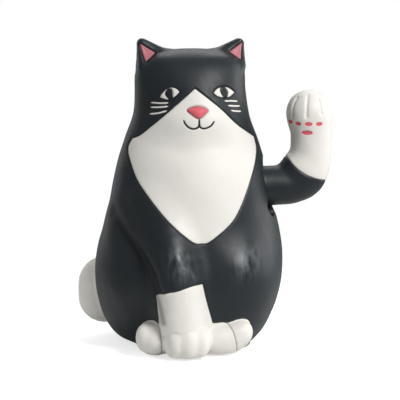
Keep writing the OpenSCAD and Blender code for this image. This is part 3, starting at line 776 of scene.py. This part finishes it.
# Painted and engraved shapes, seen from the front as (x, z)
BIB = outline(
    [(-1.7, 127), (-14.2, 116), (-21.8, 109), (-27, 104.3), (-30.3, 102.5)],
    [(-30.3, 102.5), (-32.2, 98), (-31.8, 92), (-28.4, 81.7), (-18, 66.9), (-6.5, 56.4),
     (-0.9, 54.7), (4, 56.2), (15.8, 66.1), (25.3, 84.2), (29.9, 96), (29.4, 102.8)],
    [(29.4, 102.8), (18.8, 109.8), (9.9, 117.9), (-1.7, 127)])
EYES = [
    outline([(-17.9, 122.8), (-17, 124.6), (-15, 126.6), (-12.6, 127.5), (-10.6, 127),
             (-9.2, 125.7)],
            [(-9.2, 125.7), (-10, 124.6), (-11.1, 123.5)],
            [(-11.1, 123.5), (-12.6, 122.4), (-14.6, 121.9), (-17.9, 122.8)]),
    outline([(7.5, 125), (9.3, 126.8), (12.3, 127.7), (15.5, 127), (18.5, 124.9)],
            [(18.5, 124.9), (16, 123.1), (13.2, 122.7), (9.5, 123.4), (7.5, 125)])]
PUPILS = [
    outline([(-13.4, 121.2), (-15.3, 123.5), (-15.6, 125.2), (-14.4, 127)],
            [(-14.4, 127), (-12.6, 127.2)],
            [(-12.6, 127.2), (-12.2, 125.4), (-12.2, 124), (-12, 122.2), (-13.4, 121.2)]),
    outline([(13.2, 122), (11.7, 123.8), (10.8, 126), (11.3, 128.4)],
            [(11.3, 128.4), (12.7, 128.4)],
            [(12.7, 128.4), (14.4, 126.4), (15, 124.6), (14.2, 122.2), (13.2, 122)])]
WHISKERS = [open_line(*w) for w in (
    [(-21.9, 120.2), (-18, 120.1), (-14.5, 120.3)], [(-22, 117.9), (-18, 118.2), (-14.5, 118.7)],
    [(-22.6, 114.7), (-18.8, 115.4), (-15.3, 116.6)], [(12.9, 121), (16.6, 120.9), (20.2, 120.5)],
    [(14.7, 118.8), (18, 118.4), (21.5, 118.2)], [(16.3, 116.4), (19, 115.9), (22, 115.6)])]
NOSE = outline([(-5.9, 117.3), (-3.7, 118.3), (-0.9, 118.8), (1.9, 118.3), (3.9, 117.1)],
               [(3.9, 117.1), (4, 116.4), (2.5, 114.9), (0.6, 113.4), (-0.6, 113), (-1.9, 113.4),
                (-4, 115), (-5.9, 116.6), (-5.9, 117.3)])
MOUTH = [open_line(*m) for m in (
    [(-0.45, 113), (-0.45, 111.4), (-0.6, 109.7), (-1.3, 108.7), (-3.4, 108.2), (-5.4, 108.9),
     (-7, 110.5), (-7.8, 112.3)],
    [(-0.4, 111), (-0.2, 109.6), (0.4, 108.7), (2, 108.3), (4, 108.8), (5.7, 109.9), (7, 111.7)])]
INNER_EARS = [
    np.array([(-25.4, 148), (-18.4, 143.8), (-23.2, 139.7)]),
    np.array([(25.1, 148.4), (18.8, 144), (23.9, 140.6)])]
SOCK = outline([(-22.7, 30.4), (-18.6, 32.8), (-14.6, 33.7), (-7.5, 35.6), (-1.4, 36)],
               [(-1.4, 36), (0.8, 27), (4, 16.5)], [(4, 16.5), (12, 15), (16, 1)],
               [(16, 1), (-20, 1)], [(-20, 1), (-21.4, 16), (-22.7, 30.4)])
HAUNCH_CREASE = open_line((-44, 74), (-40.1, 67.2), (-36, 58.5), (-30.3, 49), (-26.1, 42),
                          (-23.6, 34.6), (-21.6, 27), (-20.2, 18))
LEG_CREASE = open_line((-12, 53), (-9, 47.5), (-6.5, 43.6), (-4.2, 40.2), (-1.4, 36.4))
CHIN = open_line((-30, 103.5), (-20, 99.4), (-8, 97.4), (4, 97.2), (16, 98.6), (28, 103))
# Places worn smooth by handling, which on the leg and knee also carry painted highlights: x, z and
# radius
WEAR_AND_HIGHLIGHT_SPOTS = [(-10.6, 43.5, 5.5), (-13.4, 49, 4.5), (19, 43.5, 6), (23.5, 48.5, 5),
                (-16.8, 143.4, 2.6), (21, 140, 2.6)]
# Lines engraved along painted edges: how far outside the edge, half width and depth
EDGE_LINES = {"bib": (0.2, 0.42, 0.42), "eye": (0.25, 0.38, 0.35), "mouth": (-0.34, 0.4, 0.3),
              "nose": (0.15, 0.45, 0.4), "ear": (0.15, 0.45, 0.5), "sock": (0.2, 0.4, 0.35),
              "feet": (0.1, 0.5, 0.3), "tail": (0.2, 0.5, 0.4)}
# How far outside these edges painted shade lies, and how widely
PAINTED_SHADE_EDGES = {"bib": (0.25, 0.3), "eye": (0.25, 0.3), "nose": (0.1, 0.3), "ear": (0.15, 0.32),
          "sock": (0.25, 0.3), "tail": (0.25, 0.3)}
# How far outside the eye the pupil is still drawn
EYE_RIM = 0.4
WHISKER_HALF = 0.36
MOUTH_HALF = 0.46
# The sock is painted only on the leg, which stands in front of this y
SOCK_Y = -30


def front_only(p, distance):
    return np.where(p[:, 1] < 0, distance, FAR)


def cat_features(p):
    """How far each point lies from the edge of each painted shape of the cat."""
    q = p[:, [0, 2]]
    out = {"bib": front_only(p, signed(q, BIB))}
    out["eye"] = front_only(p, np.minimum(*[signed(q, s) for s in EYES]))
    out["pupil"] = front_only(p, np.minimum(*[signed(q, s) for s in PUPILS]))
    out["whisker"] = front_only(p, np.min([stroke(q, w, WHISKER_HALF) for w in WHISKERS], axis=0))
    out["nose"] = front_only(p, signed(q, NOSE))
    out["mouth"] = front_only(p, np.min([stroke(q, m, MOUTH_HALF, 0.05) for m in MOUTH], axis=0))
    out["ear"] = front_only(p, np.minimum(*[signed(q, s) for s in INNER_EARS]) - 0.1)
    out["sock"] = np.where(p[:, 1] < SOCK_Y, signed(q, SOCK), FAR)
    out["feet"] = np.min([masses(p, foot) for foot in (PAW, LEFT_FOOT, RIGHT_FOOT)], axis=0) - 0.35
    wave = 0.5 * np.sin(p[:, 2] * 0.5) + 0.4 * np.sin(p[:, 1] * 0.8)
    tip = (p[:, 0] + 26.5 - 0.4 * (p[:, 1] - 28) + wave) * 0.8
    out["tail"] = np.maximum(tip, tail(p) - 0.7)
    out["crease"], out["crease_share"] = near_line(q, HAUNCH_CREASE)
    out["leg_crease"], out["leg_share"] = near_line(q, LEG_CREASE)
    out["chin"], out["chin_share"] = near_line(q, CHIN)
    return out


def cat_relief(p, f):
    """How far the surface stands above the plain shape, in millimetres."""
    x, y, z = p.T
    height = sum(groove(f[name] - out, half, depth)
                 for name, (out, half, depth) in EDGE_LINES.items())
    height += np.where(f["eye"] < EYE_RIM, groove(f["pupil"], 0.3, 0.25), 0)
    height += 0.25 * ease(-f["whisker"] / 0.35 + 0.3)
    height += 1.3 * np.sqrt(np.clip(-f["nose"] / 2.2, 0, 1))
    height -= 0.3 * ease(-f["ear"] / 1.6)
    share = f["crease_share"]
    crease = groove(f["crease"], 3 - 1.6 * share, 1.5)
    height += crease * fade_ends(share, 0.15) * ease((-2 - y) / 9)
    folds = (groove(f["leg_crease"], 1.8, 0.5) * fade_ends(f["leg_share"], 0.3)
             + groove(f["chin"], 3.4, 0.5) * fade_ends(f["chin_share"], 0.3))
    height += np.where(y < 0, folds, 0)
    return height + 0.1 * np.sin(x * 0.31 + z * 0.12) * np.sin(z * 0.23 - y * 0.17 + 1)


def wash_of(*distances):
    """Painted shade in the engraved lines and creases, from 0 to 1."""
    return np.max([bell(d, w) for d, w in distances], axis=0)


def sculpt(name, field, low, high, step, details, relief, lengths):
    """Meshes a field, finely where there are details, and adds their relief."""
    p, t = surface_net(field, low, high, step)
    p = project(field, p)
    for _ in range(2):
        p = project(field, relax(p, t), 2)
    for length in lengths:
        p, t = refine(p, t, lambda m: details(m) < 1.1 + length, length)
        p = project(field, p, 1)
    g = gradient(field, p)
    normal = g / np.maximum(np.linalg.norm(g, axis=1), 1e-6)[:, None]
    return mesh_object(name, p + normal * relief(p)[:, None], t)


def cat_details(p):
    f = cat_features(p)
    edges = [np.abs(f[k]) for k in ("bib", "eye", "pupil", "ear", "sock", "feet", "tail")]
    return np.min(edges + [f[k] for k in ("whisker", "mouth", "nose")], axis=0)


def stadium(centre, half, long_axis, normal_axis, at, points=32):
    """A ring with round ends of radius half[0], reaching half[1] from its centre."""
    out = []
    for i in range(points):
        a = 2 * math.pi * (i + 0.5) / points
        point = [0.0, 0.0, 0.0]
        short_axis = 3 - long_axis - normal_axis
        point[short_axis] = centre[short_axis] + half[0] * math.cos(a)
        point[long_axis] = centre[long_axis] + half[0] * math.sin(a) + math.copysign(
            half[1] - half[0], math.sin(a))
        point[normal_axis] = at
        out.append(point)
    return out


# The slot for the arm: its centre, half width and half height, from which x to which it cuts,
# and the round notch at its lower end
SLOT_CENTRE = (12, -6, 78)
SLOT = (11, 14.8)
SLOT_CUT = (27, 57)
NOTCH_CENTRE = (12, -16, 68.2)
NOTCH = (4.6, 4.6)
# The box round the slot in which paint has run over the wall: its centre and half sizes
SLOT_PAINTED = ((57, -8, 78), (30, 14, 16))
# The opening in the base: half width and half length, under a flange of this height
OPENING = (26, 32)
FLANGE_TOP = 4.3
# Heights of the rings inside the casting, and where and how much they narrow under the crown
HOLLOW_HEIGHTS = [FLANGE_TOP, *np.arange(8, 135, 6.3)]
DOME = (116, 20)
DOME_SHARE = 0.6
# Posts for the base screws: places, radius, reach into the wall and heights; then their holes
LUGS = [(16, -23.5), (16, 23.5), (-21.5, 0)]
LUG_R = 3.2
LUG_REACH = 3.4
LUG_Z = (3.2, 12)
PILOT_R = 1.15
PILOT_Z = (0, 9.8)


def hollow_rings():
    heights, widths, fronts, backs = SECTIONS.T
    out = []
    for z in HOLLOW_HEIGHTS:
        dome = 1 - DOME_SHARE * ease((z - DOME[0]) / DOME[1])
        half = (hermite(z, heights, widths) - WALL) * dome
        ring = []
        for i in range(48):
            a = 2 * math.pi * i / 48
            reach = (hermite(z, heights, fronts if math.sin(a) < 0 else backs) - WALL) * dome
            ring.append((half * math.cos(a), reach * math.sin(a), z))
        out.append(ring)
    return out


def lug(place):
    """A post for a base screw, which reaches out into the wall."""
    x, y = place
    along = math.atan2(y, x)
    rings = []
    for z in LUG_Z:
        ring = []
        for i in range(32):
            a = along + 2 * math.pi * (i + 0.5) / 32
            out = LUG_REACH if math.cos(a - along) > 0 else 0
            ring.append((x + LUG_R * math.cos(a) + out * math.cos(along),
                         y + LUG_R * math.sin(a) + out * math.sin(along), z))
        rings.append(ring)
    return loft("lug", rings)


def pilot(place):
    x, y = place
    return loft("pilot", [[(x + PILOT_R * math.cos(a), y + PILOT_R * math.sin(a), z)
                           for a in np.linspace(0, 2 * math.pi, 17)[:-1]] for z in PILOT_Z])


def make_casting():
    obj = sculpt("painted_casting", cat, (-60, -60, -3), (52, 53, 155), 1.3, cat_details,
                 lambda p: cat_relief(p, cat_features(p)), (0.75, 0.42))
    opening = [stadium((0, 0, 0), OPENING, 1, 2, z, 64) for z in (-1, FLANGE_TOP + 1)]
    slot = [stadium(SLOT_CENTRE, SLOT, 2, 0, x, 48) for x in SLOT_CUT]
    notch = [stadium(NOTCH_CENTRE, NOTCH, 2, 0, x) for x in SLOT_CUT]
    steps = [("DIFFERENCE", loft(name, rings)) for name, rings in (
        ("hollow", hollow_rings()), ("opening", opening), ("slot", slot), ("slot_foot", notch))]
    steps += [("UNION", lug(place)) for place in LUGS]
    steps += [("DIFFERENCE", pilot(place)) for place in LUGS]
    carve(obj, *steps)
    finish_mesh(obj)
    paint_casting(obj)
    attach(obj, "cat")
    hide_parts("body_casting")
    return obj


def paint_casting(obj):
    p = points_of(obj)
    x, y, z = p.T
    f = cat_features(p)
    white = np.min([f[k] for k in ("bib", "sock", "feet", "tail", "eye", "whisker")], axis=0)
    # Painted shade along the haunch crease and in the engraved lines round the paint
    crease = np.where((y < -6) & (f["crease_share"] > 0.2), f["crease"], FAR)
    wash = wash_of(*[(f[name] - out, width) for name, (out, width) in PAINTED_SHADE_EDGES.items()],
                   (np.where(f["eye"] < EYE_RIM, f["pupil"], FAR), 0.3), (crease, 1.1))
    # Wear, with painted highlights on the leg and knee and lighter lines round the inner ears;
    # above the neck the paint is made duller and darker
    rub = sum(bell(np.hypot(x - at_x, z - at_z), r) for at_x, at_z, r in WEAR_AND_HIGHLIGHT_SPOTS)
    rub = np.minimum(rub, 1) + DULLEST * ease((z - 100) / 15)
    rub = np.maximum(rub, 0.9 * bell(f["ear"] - 1.15, 0.24))
    ear_rim = np.abs(f["ear"] - 0.45) - 0.3
    centre, half = SLOT_PAINTED
    in_slot = (np.abs(p - centre) < half).all(1)
    store(obj, white=white, pupil=np.where(f["eye"] < 1, f["pupil"], FAR), pink=f["nose"],
          rose=f["ear"], line=np.minimum(f["mouth"], ear_rim), wash=wash,
          depth=np.where(in_slot, 0, -cat(p)), rub=np.where(y < 0, rub, 0))


# ---------------------------------------------------------------- the raised arm

ARM_Y = -6
# Balls along the arm, and one that fills the inner corner of the elbow, as x, z and radius
ARM = [(26, 78, 9.8), (40, 77.9, 9.8), (49.4, 78.8, 10), (55.9, 81.8, 10.2), (58.6, 88, 10.2),
       (59.4, 97, 10), (59.4, 105, 10.1), (58.6, 110.8, 10.9), (58.2, 114.1, 11.1)]
ELBOW = (53.4, 85.6, 9.6)
ARM_ROOT = 33.6
ARM_WALL = 2.2
ARM_BOX = ((14, -20, 60), (72, 8, 129))
PALM_X = 58.6
PALM_R = 10.9
# Height of the arm, and half the size of the block that cuts its root off
ROOT_Z = 80
ROOT_BLOCK = 60
# The edge of the white paint, as x and z
ARM_EDGE = open_line((44, 99), (46.6, 93.4), (48.3, 89.6), (51.4, 86.4), (56.5, 83.3),
                     (63.3, 81.2), (72, 80))
# Pads of the palm: place round the forearm and height, half length and half height
PADS = [(-13.8, 109.7, 1.75, 1), (-8.5, 109, 1.75, 1), (-3, 108.9, 1.9, 1.05), (2.6, 108.9, 1.9, 1),
        (-3.8, 104.6, 3.1, 1.1)]
# Lines between the toes: place round the forearm, height of their lower and upper ends
TOE_LINES = [(-11.6, 113, 121.5), (-3.9, 112.5, 122.5), (3.6, 114, 121), (27.5, 113, 121.5),
             (35.2, 112.5, 122.5), (-27.2, 113, 121.5)]


def arm_chain(p, grow=0):
    return tube(p, [(x, ARM_Y, z, r + grow) for x, z, r in ARM])


def arm(p):
    x, z, r = ELBOW
    return smooth_min(arm_chain(p), ellipsoid(p, (x, ARM_Y, z), (r, r, r)), 3)


def round_palm(p):
    """Distance round the forearm from straight ahead, positive towards the cat's left."""
    return np.arctan2(p[:, 0] - PALM_X, ARM_Y - p[:, 1]) * PALM_R


def arm_features(p):
    """How far each point lies from the edge of each painted or engraved shape of the arm."""
    x, y, z = p.T
    u = round_palm(p)
    pads = [(np.hypot((u - place) / half, (z - height) / tall) - 1) * tall
            for place, height, half, tall in PADS]
    toes = np.full(len(p), FAR)
    half_way = math.pi * PALM_R
    for place, low, high in TOE_LINES:
        gap = np.abs((u - place + half_way) % (2 * half_way) - half_way)
        across = gap * np.hypot(x - PALM_X, y - ARM_Y) / PALM_R
        past = np.maximum(np.maximum(low - z, z - high), 0)
        toes = np.minimum(toes, np.hypot(across, past))
    d, _ = near_line(p[:, [0, 2]], ARM_EDGE)
    border = np.where(z > np.interp(x, ARM_EDGE[:, 0], ARM_EDGE[:, 1]), -d, d)
    return {"pad": np.min(pads, axis=0), "toe": toes, "white": border}


def arm_relief(p, f):
    """How far the surface stands above the plain shape, in millimetres."""
    x, y, z = p.T
    height = -0.35 * ease(-f["pad"] / 0.4 + 0.3)
    height += groove(f["toe"], 0.8, 0.6)
    height += groove(f["white"] - 0.2, 0.4, 0.35)
    return height + 0.07 * np.sin(x * 0.5 + z * 0.3) * np.sin(z * 0.34 - y * 0.4)


def arm_details(p):
    f = arm_features(p)
    return np.min([np.abs(f["pad"]), f["toe"], np.abs(f["white"])], axis=0)


def make_arm():
    obj = sculpt("painted_arm", arm, *ARM_BOX, 0.9, arm_details,
                 lambda p: arm_relief(p, arm_features(p)), (0.6, 0.35))
    inner = mesh_object("arm_hollow", *surface_net(
        lambda p: arm_chain(p, -ARM_WALL), *ARM_BOX, 2))
    square = [(s * ROOT_BLOCK, t * ROOT_BLOCK + ROOT_Z)
              for s, t in ((1, 1), (1, -1), (-1, -1), (-1, 1))]
    block = loft("root_cut", [[(x, *corner) for corner in square]
                              for x in (ARM_ROOT - ROOT_BLOCK, ARM_ROOT)])
    carve(obj, ("DIFFERENCE", inner), ("DIFFERENCE", block))
    finish_mesh(obj)
    p = points_of(obj)
    f = arm_features(p)
    far = np.full(len(p), FAR)
    # Painted shade along the engraved edge of the arm's white paint
    store(obj, white=f["white"], pupil=far, pink=f["pad"], rose=far, line=far,
          wash=wash_of((f["white"] - 0.25, 0.3)), depth=-arm(p), rub=np.zeros(len(p)))
    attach(obj, "arm")
    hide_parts("waving_arm")
    return obj


# ---------------------------------------------------------------- materials of the CAD parts

def plastic(name, colour, rough=0.45, grain=0.12):
    """Moulded plastic with fine spark-eroded texture and faint flow marks."""
    made, tree = material(name)
    dark, light = shades(colour, 0.06)
    tint = tree.mix(tree.remap(tree.noise(60, 4), 0.35, 0.65, 0, 1), dark, light)
    gloss = tree.remap(tree.noise(300, 3), 0.3, 0.7, rough - 0.07, rough + 0.07)
    normal = tree.bump(tree.noise(5200, 2), grain, 0.00004)
    shader = tree.add("ShaderNodeBsdfPrincipled", Base_Color=tint, Roughness=gloss, Normal=normal)
    tree.join(shader, "Material")
    return made


def metal(name, colour, rough=0.28, brushed=(1, 1, 1)):
    """Drawn or plated metal, finely brushed along one way."""
    made, tree = material(name)
    dark, light = shades(colour, 0.1)
    streaks = tree.noise(2200, 3, stretch=brushed)
    tint = tree.mix(tree.remap(streaks, 0.3, 0.7, 0, 1), dark, light)
    gloss = tree.remap(tree.noise(400, 3), 0.3, 0.7, rough - 0.08, rough + 0.1)
    normal = tree.bump(streaks, 0.1, 0.00002)
    shader = tree.add("ShaderNodeBsdfPrincipled", Base_Color=tint, Roughness=gloss, Normal=normal)
    shader.inputs["Metallic"].default_value = 1
    tree.join(shader, "Material")
    return made


def felt(name, colour):
    """Pressed felt: matted fibres that lie every way."""
    made, tree = material(name)
    ways = ((1, 0.25, 1), (0.25, 1, 1))
    fibre = tree.math("ADD", *[tree.noise(3000, 4, stretch=way) for way in ways])
    dark, light = shades(colour, 0.45)
    tint = tree.mix(tree.remap(fibre, 0.75, 1.25, 0, 1), dark, light)
    normal = tree.bump(fibre, 0.8, 0.0002)
    shader = tree.add("ShaderNodeBsdfPrincipled", Base_Color=tint, Normal=normal)
    shader.inputs["Roughness"].default_value = 0.95
    shader.inputs["Sheen Weight"].default_value = 0.35
    shader.inputs["Sheen Roughness"].default_value = 0.6
    tree.join(shader, "Material")
    return made


def banded(name, colour, other, axis, pitch, rough, metallic=0, sharp=0.5):
    """Fine bands across one axis: wound wire, or the printed sleeve of a cell."""
    made, tree = material(name)
    place = tree.add("ShaderNodeTexCoord").outputs["Object"]
    split = tree.add("ShaderNodeSeparateXYZ", Vector=place).outputs[axis]
    wave = tree.math("SINE", tree.math("MULTIPLY", split, 2 * math.pi / pitch))
    tint = tree.mix(tree.remap(wave, -sharp, sharp, 0, 1), colour, other)
    tint = tree.mix(tree.remap(tree.noise(500), 0.45, 0.8, 0, 0.25), tint, other)
    gloss = tree.remap(tree.noise(700, 3), 0.3, 0.7, rough - 0.06, rough + 0.08)
    normal = tree.bump(wave, 0.5, 0.00006)
    shader = tree.add("ShaderNodeBsdfPrincipled", Base_Color=tint, Roughness=gloss, Normal=normal)
    shader.inputs["Metallic"].default_value = metallic
    tree.join(shader, "Material")
    return made


def board(name):
    """Green solder mask over faint copper tracks."""
    made, tree = material(name)
    place = tree.add("ShaderNodeTexCoord").outputs["Object"]
    cells = tree.add("ShaderNodeTexVoronoi", Vector=place, Scale=420)
    cells.distance = "MANHATTAN"
    tracks = tree.remap(cells.outputs["Distance"], 0.28, 0.34, 0, 1)
    tint = tree.mix(tracks, srgb(38, 108, 62), srgb(22, 76, 44))
    normal = tree.bump(tracks, 0.3, 0.00005)
    shader = tree.add("ShaderNodeBsdfPrincipled", Base_Color=tint, Normal=normal,
                      Roughness=tree.remap(tree.noise(900), 0.3, 0.7, 0.25, 0.4))
    tree.join(shader, "Material")
    return made


def cad_materials():
    ivory = plastic("frame_plastic", srgb(226, 222, 208))
    grey = plastic("base_plastic", srgb(46, 47, 50), 0.5)
    dark = plastic("switch_plastic", srgb(26, 26, 28), 0.38)
    white_knob = plastic("knob_plastic", srgb(216, 214, 208), 0.4)
    screws = metal("screw_steel", srgb(196, 198, 202), 0.3)
    pin = metal("pin_steel", srgb(206, 208, 212), 0.16, (1, 0.05, 1))
    clips = metal("spring_steel", srgb(110, 112, 118), 0.35)
    weight = metal("weight_steel", srgb(150, 150, 152), 0.42, (0.1, 1, 1))
    contact = metal("contact_metal", srgb(214, 212, 204), 0.22, (1, 1, 0.1))
    copper, dark_copper = srgb(186, 98, 52), srgb(120, 52, 28)
    sleeve, print_grey = srgb(40, 86, 150), srgb(188, 190, 194)
    return {
        "felt_pad": felt("felt", srgb(34, 34, 38)), "base_plate": grey, "battery_door": grey,
        "base_screws": screws, "frame_screws": screws, "board_screws": screws,
        "lever_screws": screws,
        "swing_frame": ivory, "coil_bobbin": ivory, "swing_lever": ivory, "arm_stub": ivory,
        "pivot_pin": pin, "pin_clips": clips, "counterweight": weight,
        "drive_coil": banded("copper_winding", copper, dark_copper, "Z", 0.00032, 0.3, 0.9),
        "coil_leads": metal("enamelled_copper", srgb(178, 92, 50), 0.3),
        "circuit_board": board("solder_mask"),
        "board_components": plastic("components", srgb(34, 34, 36), 0.4),
        "battery_cell": banded("cell_sleeve", sleeve, print_grey, "Y", 0.034, 0.3, 0.4, 0.1),
        "contact_spring": contact, "contact_plate": contact,
        "switch_body": dark, "switch_knob": white_knob,
        "red_lead": plastic("red_insulation", srgb(176, 34, 30), 0.42, 0.05),
        "black_leads": plastic("black_insulation", srgb(24, 24, 26), 0.42, 0.05),
        "pivot_bush": metal("brass", srgb(206, 166, 88), 0.25, (1, 0.1, 1)),
        "drive_magnet": metal("nickel", srgb(200, 200, 204), 0.2),
    }


def dress_cad():
    for name, made in cad_materials().items():
        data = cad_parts[name].data
        if data.materials:
            for i in range(len(data.materials)):
                data.materials[i] = made
        else:
            data.materials.append(made)


# ---------------------------------------------------------------- the scene

bpy.context.scene.view_settings.view_transform = "Standard"
make_camera()
for lamp, values in LAMPS.items():
    softbox(lamp, *values)
make_world()
make_floor()
paint = painted("hand_paint")
for piece in (make_casting(), make_arm()):
    piece.data.materials.clear()
    piece.data.materials.append(paint)
dress_cad()
